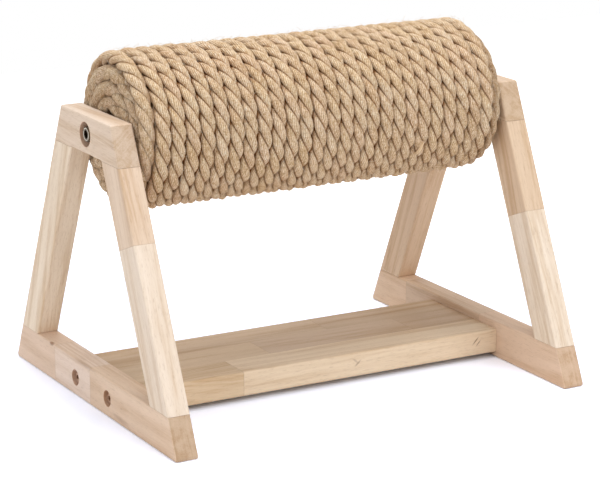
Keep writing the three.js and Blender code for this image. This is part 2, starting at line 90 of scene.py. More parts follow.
class Nodes:
    """A material's node tree, with short calls to add and link nodes."""

    def __init__(self, name):
        self.material = bpy.data.materials.new(name)
        self.material.use_nodes = True
        self.tree = self.material.node_tree
        self.shader = self.tree.nodes["Principled BSDF"]

    def add(self, kind, inputs=(), **settings):
        node = self.tree.nodes.new(kind)
        for key, value in settings.items():
            setattr(node, key, value)
        for key, value in dict(inputs).items():
            self.put(node.inputs[key], value)
        return node

    def put(self, socket, value):
        if isinstance(value, bpy.types.NodeSocket):
            self.tree.links.new(value, socket)
        else:
            socket.default_value = value

    def attribute(self, name):
        return self.add("ShaderNodeAttribute", attribute_name=name).outputs["Fac"]

    def object_point(self):
        return self.add("ShaderNodeTexCoord").outputs["Object"]

    def object_normal(self):
        return self.add("ShaderNodeTexCoord").outputs["Normal"]

    def math(self, operation, a, b=0.0, c=0.0, clamp=False):
        node = self.add("ShaderNodeMath", {0: a, 1: b, 2: c}, operation=operation, use_clamp=clamp)
        return node.outputs[0]

    def vector_math(self, operation, a, b=(0, 0, 0)):
        node = self.add("ShaderNodeVectorMath", {0: a, 1: b}, operation=operation)
        return node.outputs["Value" if operation in ("DOT_PRODUCT", "LENGTH") else "Vector"]

    def combine(self, x=0.0, y=0.0, z=0.0):
        return self.add("ShaderNodeCombineXYZ", {0: x, 1: y, 2: z}).outputs[0]

    def separate(self, vector):
        return self.add("ShaderNodeSeparateXYZ", {0: vector}).outputs

    def noise(self, vector, scale=1.0, detail=3.0, roughness=0.5, distortion=0.0):
        values = {
            "Vector": vector, "Scale": scale, "Detail": detail,
            "Roughness": roughness, "Distortion": distortion,
        }
        return self.add("ShaderNodeTexNoise", values).outputs["Fac"]

    def dot(self, vector, axis):
        return self.vector_math("DOT_PRODUCT", vector, tuple(axis))

    def smooth_range(self, value, low, high, to_low=0.0, to_high=1.0):
        values = {"Value": value, 1: low, 2: high, 3: to_low, 4: to_high}
        return self.add("ShaderNodeMapRange", values, interpolation_type="SMOOTHSTEP").outputs[0]

    def ramp(self, value, stops, interpolation="LINEAR"):
        """stops are (place, (r, g, b)), colours in linear light."""
        node = self.add("ShaderNodeValToRGB", {"Fac": value})
        node.color_ramp.interpolation = interpolation
        elements = node.color_ramp.elements
        if len(stops) == 1:
            elements.remove(elements[-1])
        elements[0].position, elements[-1].position = stops[0][0], stops[-1][0]
        for place, _ in stops[1:-1]:
            elements.new(place)
        for element, (_, colour) in zip(elements, stops):
            element.color = (*colour, 1)
        return node.outputs["Color"]

    def mix(self, factor, a, b, blend="MIX"):
        node = self.add("ShaderNodeMix", data_type="RGBA", blend_type=blend)
        self.put(node.inputs["Factor"], factor)
        for socket, value in ((node.inputs[6], a), (node.inputs[7], b)):
            self.put(socket, (*value, 1) if isinstance(value, tuple) else value)
        return node.outputs[2]

    def bump(self, height, distance, strength=1.0):
        values = {"Height": height, "Distance": distance, "Strength": strength}
        self.put(self.shader.inputs["Normal"], self.add("ShaderNodeBump", values).outputs[0])


def linear(red, green, blue):
    """A colour as it shows, from 0 to 255, in linear light."""
    def channel(value):
        value /= 255
        return value / 12.92 if value <= 0.04045 else ((value + 0.055) / 1.055) ** 2.4
    return channel(red), channel(green), channel(blue)


# ---------------------------------------------------------------- rope: the path

ROPE_DIAMETER = 0.0155
ROPE_RADIUS = ROPE_DIAMETER / 2
TURN_PITCH = 0.01551
FIRST_COLUMN = -0.1858  # X of the leftmost turn at the front
TURN_BOW = 0.0030  # how far the turns halfway along the drum lie to the right of an even pitch
WINDING_SHIFT = -0.0006  # how far the whole winding sits along the drum, clear of the frames
RIM_THICKNESS = 0.84  # of the rope pressed flat on the rims, as a share of its diameter
DOMED_RADII = (0.046, 0.070)  # between which an end face rises to the rope's full thickness
SEAT = 0.0003
WINDING_RADIUS = TUBE_RADIUS + SEAT + ROPE_RADIUS
RIM_RISE = WINDING_RADIUS - TUBE_RADIUS
RIM_REACH = SEAT + ROPE_RADIUS * RIM_THICKNESS
RIM_LENGTH = (RIM_RISE + RIM_REACH) / 2 * math.pi / 2
HUB_RADIUS = 0.0172  # of the middle line where the rope starts and ends on the end faces
STEP_LENGTH = 0.0032
ANGLES_PER_TURN = 180
NEXT_TURN_REACH = (0.8, 1.8)  # pitches, between which the next turn is looked for
HALVINGS = 40
SIDE_WANDER, SIDE_WANDER_LENGTH, SIDE_WANDER_SEED = 0.0005, 0.11, 1
OUT_WANDER, OUT_WANDER_LENGTH, OUT_WANDER_SEED = 0.0003, 0.07, 2
SINK = 0.0001  # how far the rope is pressed on to what it lies on


def face_thickness(radius):
    """Of the rope on an end face, which is domed, as a share of its diameter."""
    inner, outer = DOMED_RADII
    part = np.clip((radius - inner) / (outer - inner), 0, 1)
    return 1 + (RIM_THICKNESS - 1) * part * part * (3 - 2 * part)


def outline(distance):
    """X, radius and tilt of the rope's middle line at a distance along half the drum's outline:
    along the drum, round its rim, and down its end face."""
    tilt = np.clip((distance - TUBE_HALF) / RIM_LENGTH, 0, 1) * math.pi / 2
    down_the_face = np.maximum(distance - TUBE_HALF - RIM_LENGTH, 0)
    radius = TUBE_RADIUS + RIM_RISE * np.cos(tilt) - down_the_face
    reach = SEAT + ROPE_RADIUS * face_thickness(radius)
    x = np.minimum(distance, TUBE_HALF) + reach * np.sin(tilt)
    return x, radius, tilt


def next_turn(distance):
    """Where the next turn lies against the one at this distance, at the same angle."""
    x, radius, _ = outline(distance)
    low, high = (distance + reach * TURN_PITCH for reach in NEXT_TURN_REACH)
    for _ in range(HALVINGS):
        middle = (low + high) / 2
        next_x, next_radius, _ = outline(middle)
        apart = np.hypot(next_x - x, next_radius - radius)
        low = np.where(apart < TURN_PITCH, middle, low)
        high = np.where(apart < TURN_PITCH, high, middle)
    return low


def half_of_the_turns(first_turn):
    """Turns and distances from the drum's middle to the hub, each turn lying against the last."""
    part = np.arange(ANGLES_PER_TURN) / ANGLES_PER_TURN
    turns = [first_turn + part]
    distances = [TURN_PITCH * part]
    while outline(distances[-1])[1].max() > HUB_RADIUS:
        turns.append(turns[-1] + 1)
        distances.append(next_turn(distances[-1]))
    turns, distances = np.concatenate(turns), np.concatenate(distances)
    keep = outline(distances)[1] > HUB_RADIUS
    return turns[keep], distances[keep]


def rope_turns():
    """Turns, and X, radius and tilt of the middle line, from the left hub to the right one."""
    middle_turn = -FIRST_COLUMN / TURN_PITCH
    right_turns, right_distances = half_of_the_turns(middle_turn)
    left_turns, left_distances = half_of_the_turns(-middle_turn)
    right_x, right_radius, right_tilt = outline(right_distances)
    left_x, left_radius, left_tilt = outline(left_distances)
    turns = np.concatenate([-left_turns[::-1], right_turns[1:]])
    x = np.concatenate([-left_x[::-1], right_x[1:]])
    x += TURN_BOW * np.cos(np.clip(x / TUBE_HALF, -1, 1) * math.pi / 2) + WINDING_SHIFT
    radius = np.concatenate([left_radius[::-1], right_radius[1:]])
    tilt = np.concatenate([-left_tilt[::-1], right_tilt[1:]])
    return turns, x, radius, tilt


def outwards_at(turns):
    """Out from the axle, at a turn counted from the front, upwards."""
    angle = 2 * math.pi * turns
    return np.stack([np.zeros_like(angle), -np.cos(angle), np.sin(angle)], 1)


def unit(vectors):
    return vectors / np.linalg.norm(vectors, axis=1, keepdims=True)


def slow_noise(along, wavelength, seed):
    """A smooth random number, about -1 to 1, along a length."""
    random = np.random.default_rng(seed)
    knots = random.uniform(-1, 1, int(along[-1] / wavelength) + 4)
    place = along / wavelength
    index = place.astype(int)
    part = place - index
    part = part * part * (3 - 2 * part)
    return knots[index] * (1 - part) + knots[index + 1] * part


def rope_path():
    """Length along the rope, its middle line, its frame (out, sideways and on), its tilt, its
    thickness as a share of the diameter, and whether it is past the drum's last turn but one."""
    turns, x, radius, tilt = rope_turns()
    outwards = outwards_at(turns)
    x_axis = np.array([[1.0, 0, 0]])
    middle = x[:, None] * x_axis + radius[:, None] * outwards
    length = np.concatenate([[0], np.cumsum(np.linalg.norm(np.diff(middle, axis=0), axis=1))])
    steps = int(length[-1] / STEP_LENGTH)
    along = np.linspace(0, length[-1], steps + 1)
    turns, x, radius, tilt = (np.interp(along, length, v) for v in (turns, x, radius, tilt))
    outwards = outwards_at(turns)
    out = np.sin(tilt)[:, None] * x_axis + np.cos(tilt)[:, None] * outwards
    side = np.cos(tilt)[:, None] * x_axis - np.sin(tilt)[:, None] * outwards
    middle = x[:, None] * x_axis + radius[:, None] * outwards
    wander = SIDE_WANDER * slow_noise(along, SIDE_WANDER_LENGTH, SIDE_WANDER_SEED)
    middle += side * wander[:, None]
    wander = OUT_WANDER * slow_noise(along, OUT_WANDER_LENGTH, OUT_WANDER_SEED)
    middle += out * (wander - SINK)[:, None]
    on = unit(np.gradient(middle, axis=0))
    out = unit(out - (out * on).sum(1)[:, None] * on)
    side = np.cross(on, out)
    middle[:, 2] += AXLE_HEIGHT
    thickness = 1 + (face_thickness(radius) - 1) * np.abs(np.sin(tilt))
    on_rim = np.abs(x - WINDING_SHIFT) > TUBE_HALF - TURN_PITCH
    return along, middle, out, side, on, np.abs(tilt), thickness, on_rim


# ---------------------------------------------------------------- rope: its three strands

LAY_LENGTH = 0.0555
STRANDS = 3
STRAND_POINTS = 14
STRAND_OFFSET = 0.44  # of a strand's middle from the rope's, as a share of the rope's radius
STRAND_RADIUS = 1 - STRAND_OFFSET
STRAND_SWELL, SWELL_LENGTH, SWELL_SEED = 0.03, 0.03, 10
SIDE_SPREAD = 1.22  # how much wider than round a turn would be without its neighbours
SIDE_LIMIT = 0.0082  # how far a turn's side can reach from its middle
SIDE_SHARPNESS = 8
SIDE_NOTCH = 0.09  # how much deeper a groove is where it meets the neighbouring turn
NOTCH_SIDES = (0.4, 0.85)  # the sine of the angle off straight out, from no notch to a full one
FUZZ_RISE = 1.6  # how soon fuzz comes in, from the rim to the end face
FACE_FULLNESS = 0.60  # how far the grooves are filled with fuzz on the end faces
FILLED_RADIUS = 0.95  # of the rope's, where a groove is full
FACE_LUMPS, LUMP_LENGTH, LUMP_SEED = 0.04, 0.008, 30
SHELTERED_HEIGHTS = (0.08, 0.46)  # of the rope's radius, from a seam's floor to full light
SHELTERED_CRESTS = (0.58, 0.76)  # the same across a groove
RIM_SHELTER = 0.3  # of the full shade, where no neighbour covers a turn's side
ROPE_SHARP_ANGLE = math.radians(55)


def strand_outline():
    """Angle and radius of the points across one strand, from groove to groove."""
    reach = math.pi / STRANDS
    angle = np.linspace(-reach, reach, STRAND_POINTS + 1)[:-1]
    across = STRAND_OFFSET * np.sin(angle)
    radius = STRAND_OFFSET * np.cos(angle) + np.sqrt(STRAND_RADIUS ** 2 - across ** 2)
    return angle, radius * ROPE_RADIUS


def squeezed(sideways):
    """How far a point stands from the middle of its turn, which its neighbours flatten."""
    wide = sideways * SIDE_SPREAD
    return wide / (1 + np.abs(wide / SIDE_LIMIT) ** SIDE_SHARPNESS) ** (1 / SIDE_SHARPNESS)


def smooth_step(values, low, high):
    """From 0 at the low value to 1 at the high one."""
    part = np.clip((values - low) / (high - low), 0, 1)
    return part * part * (3 - 2 * part)


def loose_reach(along, radius, fuzz):
    """How far each point of the skin stands from the middle line, matted on the end faces."""
    full = FACE_FULLNESS * fuzz
    reach = np.tile(radius, STRANDS)[None, :] * (1 - full) + FILLED_RADIUS * ROPE_RADIUS * full
    lumps = slow_noise(along, LUMP_LENGTH, LUMP_SEED)[:, None]
    return reach * (1 + FACE_LUMPS * fuzz * lumps)


def wound_reach(reach, along, angle, turned, strand):
    """The same with a notch where a groove meets the neighbouring turn, and swelling strands."""
    groove = np.tile(np.abs(angle) / (math.pi / STRANDS), STRANDS)[None, :] ** 2
    notch = SIDE_NOTCH * groove * smooth_step(np.abs(np.sin(turned)), *NOTCH_SIDES)
    swell = np.stack([
        1 + STRAND_SWELL * slow_noise(along, SWELL_LENGTH, SWELL_SEED + number)
        for number in range(STRANDS)
    ], 1)
    return reach * (1 - notch) * swell[:, strand]


def shelter(reach, turned, thickness, on_rim):
    """How far each point lies in the shade, in the seam between turns or between strands."""
    height = thickness[:, None] * reach * np.cos(turned) / ROPE_RADIUS
    in_seam = 1 - smooth_step(height, *SHELTERED_HEIGHTS)
    in_seam *= np.where(on_rim, RIM_SHELTER, 1)[:, None]
    in_groove = 1 - smooth_step(reach / ROPE_RADIUS, *SHELTERED_CRESTS)
    return np.maximum(in_seam, in_groove)


def quads_between_rings(rows, count):
    row = np.arange(rows - 1)[:, None] * count
    here = np.arange(count)[None, :]
    beside = (np.arange(count) + 1)[None, :] % count
    corners = [row + here, row + beside, row + count + beside, row + count + here]
    return np.stack(corners, 2).reshape(-1, 4)


def rope_surface():
    """The rope's skin: its places and faces, and at each place what materials and hairs read."""
    along, middle, out, side, on, tilt, thickness, on_rim = rope_path()
    angle, radius = strand_outline()
    rows, count = len(along), STRANDS * STRAND_POINTS
    strand = np.repeat(np.arange(STRANDS), STRAND_POINTS)
    section_angle = strand * 2 * math.pi / STRANDS + np.tile(angle, STRANDS)
    lay = -2 * math.pi * along / LAY_LENGTH
    turned = lay[:, None] + section_angle[None, :]
    fuzz = np.clip(tilt / (math.pi / 2) * FUZZ_RISE - (FUZZ_RISE - 1), 0, 1)[:, None]
    reach = loose_reach(along, radius, fuzz)
    sheltered = shelter(reach, turned, thickness, on_rim)
    reach = wound_reach(reach, along, angle, turned, strand)
    outwards = thickness[:, None] * reach * np.cos(turned)
    sideways = squeezed(reach * np.sin(turned))
    places = (
        middle[:, None, :]
        + outwards[:, :, None] * out[:, None, :]
        + sideways[:, :, None] * side[:, None, :]
    )
    normals = (
        np.cos(turned)[:, :, None] * out[:, None, :]
        + np.sin(turned)[:, :, None] * side[:, None, :]
    )
    across = np.tile(angle / (2 * math.pi / STRANDS) + 0.5, STRANDS)
    return {
        "places": places.reshape(-1, 3),
        "faces": quads_between_rings(rows, count),
        "rows": rows,
        "count": count,
        "along": np.repeat(along, count),
        "across": np.tile(across, rows),
        "strand": np.tile(strand, rows),
        "facing": np.cos(turned).ravel(),
        "normals": normals.reshape(-1, 3),
        "on": np.repeat(on, count, axis=0),
        "sheltered": sheltered.ravel(),
        "fuzz": np.repeat(fuzz, count),
    }


def jute_rope(made, material):
    """The whole rope, with each cut end closed by a fan round its middle."""
    rows, count = made["rows"], made["count"]
    places, faces = made["places"], made["faces"]
    ends = []
    for ring, at_start in ((0, True), ((rows - 1) * count, False)):
        centre = np.full(count, len(places))
        places = np.vstack([places, places[ring:ring + count].mean(0)])
        here = ring + np.arange(count)
        beside = np.roll(here, -1)
        ends.append(np.stack([centre, beside, here] if at_start else [centre, here, beside], 1))
    triangles = np.vstack([faces[:, [0, 1, 2]], faces[:, [0, 2, 3]], *ends])
    rope = mesh_piece("jute_rope", places, triangles, material)
    for name in ("along", "across", "strand", "sheltered", "fuzz"):
        set_attribute(rope, name, np.append(made[name], [made[name][0], made[name][-1]]))
    rope.data.set_sharp_from_angle(angle=ROPE_SHARP_ANGLE)
    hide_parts("drum_rope_winding", "left_rope_spiral", "right_rope_spiral")
    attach(rope, "roller")


# Yarns twist against the strands, so that they lie along the rope.
YARNS = 9.0
YARN_SLOPE = STRANDS / LAY_LENGTH  # strands' widths that a yarn crosses in a metre
YARN_WANDER = 1.8  # yarns' widths
STRAND_SHIFT = 37.0  # metres from one strand's pattern to the next
FIBRE_SHARE, SPECK_SHARE, BLOTCH_SHARE = 0.44, 0.32, 0.24  # of the rope's tone
JUTE_TONES = (
    (0.05, linear(174, 134, 94)),
    (0.38, linear(228, 199, 162)),
    (0.65, linear(249, 227, 198)),
    (0.95, linear(255, 246, 229)),
)
JUTE_TINTS = (
    (0.0, (1.0, 0.975, 0.91)),
    (0.5, (1.0, 0.99, 0.97)),
    (1.0, (1.0, 0.955, 0.94)),
)
DARK_PATCH, DARK_PATCH_SHARE = linear(176, 138, 98), 0.40
# the colour of painted shade in the hollows between yarns, and how much of it
YARN_GAP_SHADE, YARN_GAP_SHADE_SHARE = linear(168, 124, 84), 0.52
WORN_FUZZ, PALE_FUZZ, FUZZ_SHARE = linear(158, 120, 82), linear(246, 228, 206), 0.50
# the deep brown of the painted shade in the seams between turns and the grooves between strands
PAINTED_SEAM_SHADE = linear(156, 96, 40)
RIDGE_RELIEF, FIBRE_RELIEF, FUZZ_RELIEF = 0.6, 0.8, -2.2
JUTE_RELIEF = 0.0012


def jute_figure(nodes):
    """The yarns' ridges, and the fibres, specks, blotches and hues that follow the strands."""
    along = nodes.attribute("along")
    across = nodes.attribute("across")
    strand = nodes.attribute("strand")
    yarn_place = nodes.math("SUBTRACT", across, nodes.math("MULTIPLY", along, YARN_SLOPE))
    yarn = nodes.math("MULTIPLY", yarn_place, YARNS)
    shifted = nodes.math("MULTIPLY_ADD", strand, STRAND_SHIFT, along)
    wander = nodes.noise(nodes.combine(nodes.math("MULTIPLY", shifted, 90.0), across), 1.0, 2.0)
    yarn = nodes.math("MULTIPLY_ADD", wander, YARN_WANDER, yarn)
    ridge = nodes.math("SINE", nodes.math("MULTIPLY", yarn, 2 * math.pi))
    ridge = nodes.math("MULTIPLY_ADD", ridge, 0.5, 0.5)
    fibre = nodes.noise(nodes.combine(
        nodes.math("MULTIPLY", yarn, 1.35),
        nodes.math("MULTIPLY", shifted, 210.0),
    ), 1.0, 4.0, 0.72)
    speck = nodes.noise(nodes.combine(
        nodes.math("MULTIPLY", across, 11.0),
        nodes.math("MULTIPLY", shifted, 620.0),
    ), 1.0, 3.0, 0.7)
    blotch = nodes.noise(nodes.combine(nodes.math("MULTIPLY", shifted, 22.0), strand), 1.0, 3.0, 0.6)
    hue = nodes.noise(nodes.combine(nodes.math("MULTIPLY", shifted, 9.0), 5.0), 1.0, 2.0)
    return ridge, fibre, speck, blotch, hue


def fuzzed(nodes, colour, fuzz, tuft):
    """The colour of matted fuzz, worn dark in places and pale in others, on the end faces."""
    patchy = nodes.math("MULTIPLY", fuzz, nodes.smooth_range(tuft, 0.48, 0.64, 0.0, FUZZ_SHARE))
    colour = nodes.mix(patchy, colour, WORN_FUZZ)
    pale = nodes.math("MULTIPLY", fuzz, nodes.smooth_range(tuft, 0.36, 0.50, FUZZ_SHARE, 0.0))
    return nodes.mix(pale, colour, PALE_FUZZ)


def jute_material():
    """Yarns and fibres that follow the strands, matted to fuzz on the end faces."""
    nodes = Nodes("jute")
    ridge, fibre, speck, blotch, hue = jute_figure(nodes)
    tone = nodes.math("MULTIPLY", nodes.smooth_range(fibre, 0.36, 0.64), FIBRE_SHARE)
    tone = nodes.math("MULTIPLY_ADD", nodes.smooth_range(speck, 0.36, 0.64), SPECK_SHARE, tone)
    tone = nodes.math("MULTIPLY_ADD", nodes.smooth_range(blotch, 0.32, 0.68), BLOTCH_SHARE, tone)
    colour = nodes.ramp(tone, JUTE_TONES)
    patch = nodes.noise(nodes.object_point(), 260.0, 3.0, 0.65)
    darker = nodes.smooth_range(patch, 0.50, 0.72, 0.0, DARK_PATCH_SHARE)
    colour = nodes.mix(darker, colour, DARK_PATCH)
    tint = nodes.ramp(nodes.smooth_range(hue, 0.34, 0.66), JUTE_TINTS)
    colour = nodes.mix(1.0, colour, tint, "MULTIPLY")
    # painted shade: the hollows between the yarns' ridges are darkened
    yarn_gap_shade = nodes.smooth_range(ridge, 0.0, 0.5, YARN_GAP_SHADE_SHARE, 0.0)
    colour = nodes.mix(yarn_gap_shade, colour, YARN_GAP_SHADE)
    fuzz = nodes.attribute("fuzz")
    tuft = nodes.noise(nodes.object_point(), 330.0, 4.0, 0.74)
    colour = fuzzed(nodes, colour, fuzz, tuft)
    # painted shade: where a point lies in the shade of a seam or a groove, its colour goes towards a
    # deep brown
    colour = nodes.mix(nodes.attribute("sheltered"), colour, PAINTED_SEAM_SHADE)
    nodes.put(nodes.shader.inputs["Base Color"], colour)
    nodes.put(nodes.shader.inputs["Roughness"], 0.92)
    nodes.put(nodes.shader.inputs["Specular IOR Level"], 0.04)
    relief = nodes.math("MULTIPLY", ridge, RIDGE_RELIEF)
    relief = nodes.math("ADD", relief, nodes.math("MULTIPLY", fibre, FIBRE_RELIEF))
    relief = nodes.math("MULTIPLY_ADD", nodes.math("MULTIPLY", fuzz, tuft), FUZZ_RELIEF, relief)
    nodes.bump(relief, JUTE_RELIEF)
    return nodes.material


# ---------------------------------------------------------------- rope: the hairs on it

HAIRS = 9000
HAIR_RINGS = (0.0, 0.3, 0.6, 0.85)
HAIR_SIDES = 3
HAIR_SEED = 71
HAIR_FACE_LIMIT = 0.2111  # of |X|, clear of the frames
HAIR_SPREAD = 0.65  # radians from the rope's direction
HAIR_LENGTHS = (0.004, 0.013)
HAIR_LIFTS = (0.0003, 0.0017)
HIGH_HAIRS, HIGH_LIFT = 0.12, 2.2  # the share that stands out further, and how much further
HAIR_BEND = 0.0018
HAIR_ARCH = 2.4  # radians of the sine that a hair's lift follows
HAIR_SINK = 0.0002
HAIR_RADII = (0.00006, 0.00013)
HAIR_TONES = (
    (0.0, linear(196, 158, 114)),
    (0.5, linear(238, 212, 176)),
    (1.0, linear(255, 244, 224)),
)
HAIR_STREAK = linear(176, 134, 92)
HAIR_STREAK_SCALE = (2400.0, 700.0, 700.0)


def hair_curves(made, random):
    """Points along each hair, (hairs, rings and the tip, 3), the direction it lies in, the rope's
    normal at its root, and its radius."""
    outside = np.flatnonzero(made["facing"] > 0.05)
    roots = random.choice(outside, HAIRS, replace=False)
    root, normal, on = made["places"][roots], made["normals"][roots], made["on"][roots]
    across = np.cross(normal, on)
    turn = random.normal(0.0, HAIR_SPREAD, HAIRS)
    turn += np.where(random.random(HAIRS) < 0.5, 0, math.pi)
    course = np.cos(turn)[:, None] * on + np.sin(turn)[:, None] * across
    length = random.uniform(*HAIR_LENGTHS, HAIRS)
    lift = random.uniform(*HAIR_LIFTS, HAIRS)
    lift *= np.where(random.random(HAIRS) < HIGH_HAIRS, HIGH_LIFT, 1)
    bend = random.normal(0.0, HAIR_BEND, HAIRS)
    part = np.array((*HAIR_RINGS, 1.0))[None, :, None]
    points = (
        root[:, None, :]
        + course[:, None, :] * (length[:, None, None] * part)
        + normal[:, None, :] * (lift[:, None, None] * np.sin(HAIR_ARCH * part) - HAIR_SINK)
        + np.cross(normal, course)[:, None, :] * (bend[:, None, None] * part ** 2)
    )
    points[:, :, 0] = np.clip(points[:, :, 0], -HAIR_FACE_LIMIT, HAIR_FACE_LIMIT)
    return points, course, normal, random.uniform(*HAIR_RADII, HAIRS)


def rope_hairs(made, material):
    """Loose hairs, each a closed three-sided spike rooted just under the rope's skin."""
    random = np.random.default_rng(HAIR_SEED)
    points, course, normal, radius = hair_curves(made, random)
    beside = unit(np.cross(course, normal))
    rings = len(HAIR_RINGS)
    corner = 2 * math.pi * np.arange(HAIR_SIDES) / HAIR_SIDES
    section = (
        np.cos(corner)[None, :, None] * normal[:, None, :]
        + np.sin(corner)[None, :, None] * beside[:, None, :]
    )
    section = section * radius[:, None, None]
    walls = points[:, :rings, None, :] + section[:, None, :, :]
    vertices = np.concatenate([walls.reshape(HAIRS, -1, 3), points[:, rings:, :]], 1)
    here = np.arange(HAIR_SIDES)
    after = (here + 1) % HAIR_SIDES
    faces = [[0, 1, 2]]
    for ring in range(rings - 1):
        low, high = ring * HAIR_SIDES, (ring + 1) * HAIR_SIDES
        for a, b in zip(here, after):
            faces += [[low + a, high + b, low + b], [low + a, high + a, high + b]]
    last, tip = (rings - 1) * HAIR_SIDES, rings * HAIR_SIDES
    faces += [[last + a, tip, last + b] for a, b in zip(here, after)]
    faces = np.array(faces)[None] + (np.arange(HAIRS) * vertices.shape[1])[:, None, None]
    hairs = mesh_piece("rope_hairs", vertices.reshape(-1, 3), faces.reshape(-1, 3), material)
    set_attribute(hairs, "shade", np.repeat(random.random(HAIRS), vertices.shape[1]))
    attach(hairs, "roller")


def hair_material():
    nodes = Nodes("jute_hair")
    colour = nodes.ramp(nodes.attribute("shade"), HAIR_TONES)
    scaled = nodes.vector_math("MULTIPLY", nodes.object_point(), HAIR_STREAK_SCALE)
    streak = nodes.noise(scaled, 1.0, 3.0)
    colour = nodes.mix(nodes.smooth_range(streak, 0.5, 0.7, 0.0, 0.5), colour, HAIR_STREAK)
    nodes.put(nodes.shader.inputs["Base Color"], colour)
    nodes.put(nodes.shader.inputs["Roughness"], 0.8)
    nodes.put(nodes.shader.inputs["Specular IOR Level"], 0.2)
    return nodes.material


# ---------------------------------------------------------------- rope: loose yarns

LOOSE_YARNS, LOOSE_SEED = 5, 5
LOOSE_ROOT = (0.1105, -0.0630)  # X, and turn from the front
LOOSE_TIP = (0.1025, -0.0985)
LOOSE_REACHES = (0.82, 1.08)  # how far a yarn gets from root to tip
LOOSE_SPREAD = 0.0015
LOOSE_FAN = (0.55, 0.5)  # of the spread between yarns, at their roots and added by their tips
LOOSE_SWAY = 0.0005
LOOSE_LIFT = 0.0026
LOOSE_DEPTH = 0.0022  # of the roots below the rope's crests
LOOSE_HEIGHTS = (-0.0002, 0.0004)
LOOSE_RADIUS = 0.0006
LOOSE_GIRTHS = (0.8, 1.1)
LOOSE_SHADES = (0.2, 0.7)
LOOSE_POINTS = 12
LOOSE_SIDES = 7
TUBE_REFERENCE = (0.3, 0.5, 0.8)  # a direction that no yarn takes, from which its section is set out


def tube(points, radii, sides):
    """Vertices and triangles of a round tube along points, closed at both ends."""
    on = unit(np.gradient(points, axis=0))
    across = unit(np.cross(on, TUBE_REFERENCE))
    other = np.cross(on, across)
    corner = 2 * math.pi * np.arange(sides) / sides
    ring = (
        np.cos(corner)[None, :, None] * across[:, None]
        + np.sin(corner)[None, :, None] * other[:, None]
    )
    walls = (points[:, None] + ring * radii[:, None, None]).reshape(-1, 3)
    rows = len(points)
    start, end = rows * sides, rows * sides + 1
    faces = []
    for a in range(sides):
        b = (a + 1) % sides
        faces.append([start, b, a])
        faces.append([end, (rows - 1) * sides + a, (rows - 1) * sides + b])
        for row in range(rows - 1):
            low, high = row * sides, (row + 1) * sides
            faces += [[low + a, low + b, high + b], [low + a, high + b, high + a]]
    return np.vstack([walls, points[:1], points[-1:]]), np.array(faces)


def loose_yarns(material):
    """A few yarns that have come out of a strand low on the front."""
    random = np.random.default_rng(LOOSE_SEED)
    part = np.linspace(0, 1, LOOSE_POINTS)
    x_axis = np.array([[1.0, 0, 0]])
    vertices, faces, shades = [], [], []
    for yarn in range(LOOSE_YARNS):
        spread = (yarn - (LOOSE_YARNS - 1) / 2) * LOOSE_SPREAD
        reach = part * random.uniform(*LOOSE_REACHES)
        fan = LOOSE_FAN[0] + LOOSE_FAN[1] * part ** 2
        x = LOOSE_ROOT[0] + (LOOSE_TIP[0] - LOOSE_ROOT[0]) * reach + spread * fan
        x += LOOSE_SWAY * np.sin(5 * part + yarn)
        turns = LOOSE_ROOT[1] + (LOOSE_TIP[1] - LOOSE_ROOT[1]) * reach - 0.2 * spread
        lift = LOOSE_LIFT * np.sin(math.pi * np.clip(1.15 * part, 0, 1)) - LOOSE_DEPTH * (1 - part)
        radius = WINDING_RADIUS + ROPE_RADIUS + lift + random.uniform(*LOOSE_HEIGHTS)
        points = x[:, None] * x_axis + radius[:, None] * outwards_at(turns)
        points[:, 2] += AXLE_HEIGHT
        radii = LOOSE_RADIUS * (1 - 0.5 * part ** 3) * random.uniform(*LOOSE_GIRTHS)
        walls, triangles = tube(points, radii, LOOSE_SIDES)
        faces.append(triangles + sum(len(v) for v in vertices))
        vertices.append(walls)
        shades.append(np.full(len(walls), random.uniform(*LOOSE_SHADES)))
    yarns = mesh_piece("loose_yarns", np.vstack(vertices), np.vstack(faces), material)
    set_attribute(yarns, "shade", np.concatenate(shades))
    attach(yarns, "roller")


# ---------------------------------------------------------------- timber

GLUE_LINE = 0.00022
JOINT_COLOUR, JOINT_SHADE = linear(150, 112, 78), 0.22
END_GRAIN = (0.62, 0.84)  # of the normal along the grain, from side grain to end grain
RAIL_AXIS = (0.0, 1.0, 0.0)
BOARD_AXIS = (1.0, 0.0, 0.0)
UP = (0.0, 0.0, 1.0)
TREE_TURN, PITH_TURN = 0.618, 0.377  # parts of a turn by which one length differs from the next
PITH_DEPTHS = (0.022, 0.03)  # the least depth of the pith, and how much deeper it can lie
RING_LEAN = (0.06, 0.22)  # sideways, and along the grain
RING_SWAY = 0.007
RING_SCALE = 360.0
RINGS_SHARE, BANDS_SHARE, FIBRES_SHARE = 0.30, 0.52, 0.18  # of the timber's figure
FIGURE_SHADES = (
    (0.12, (0.83, 0.75, 0.65)),
    (0.50, (1.0, 1.0, 1.0)),
    (0.88, (1.08, 1.11, 1.15)),
)
PORES = (0.60, 0.70)  # of the pore noise, from none to full
PORE_COLOUR, PORE_SHADE = linear(150, 108, 70), 0.22
UPWARDS = (0.7, 0.95)  # of the normal along Z, from a side to a top
KNOT_COLOUR = linear(128, 84, 50)
KNOT_RAGGED, KNOT_EDGE = -0.6, 0.9  # as shares of a knot's size
# the warm brown of the painted shade inside bores, and how much of it
BORE_SHADE_COLOUR, BORE_SHADE = linear(214, 166, 134), 0.5
TIMBER_RELIEF = 0.00012
NO_CHANGE = (1.0, 1.0, 1.0)
rail_low, rail_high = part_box("left_bottom_rail")
_, block_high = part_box("left_top_block")
LEG_LEAN = (rail_high.y - block_high.y) / (block_high.z - rail_low.z)


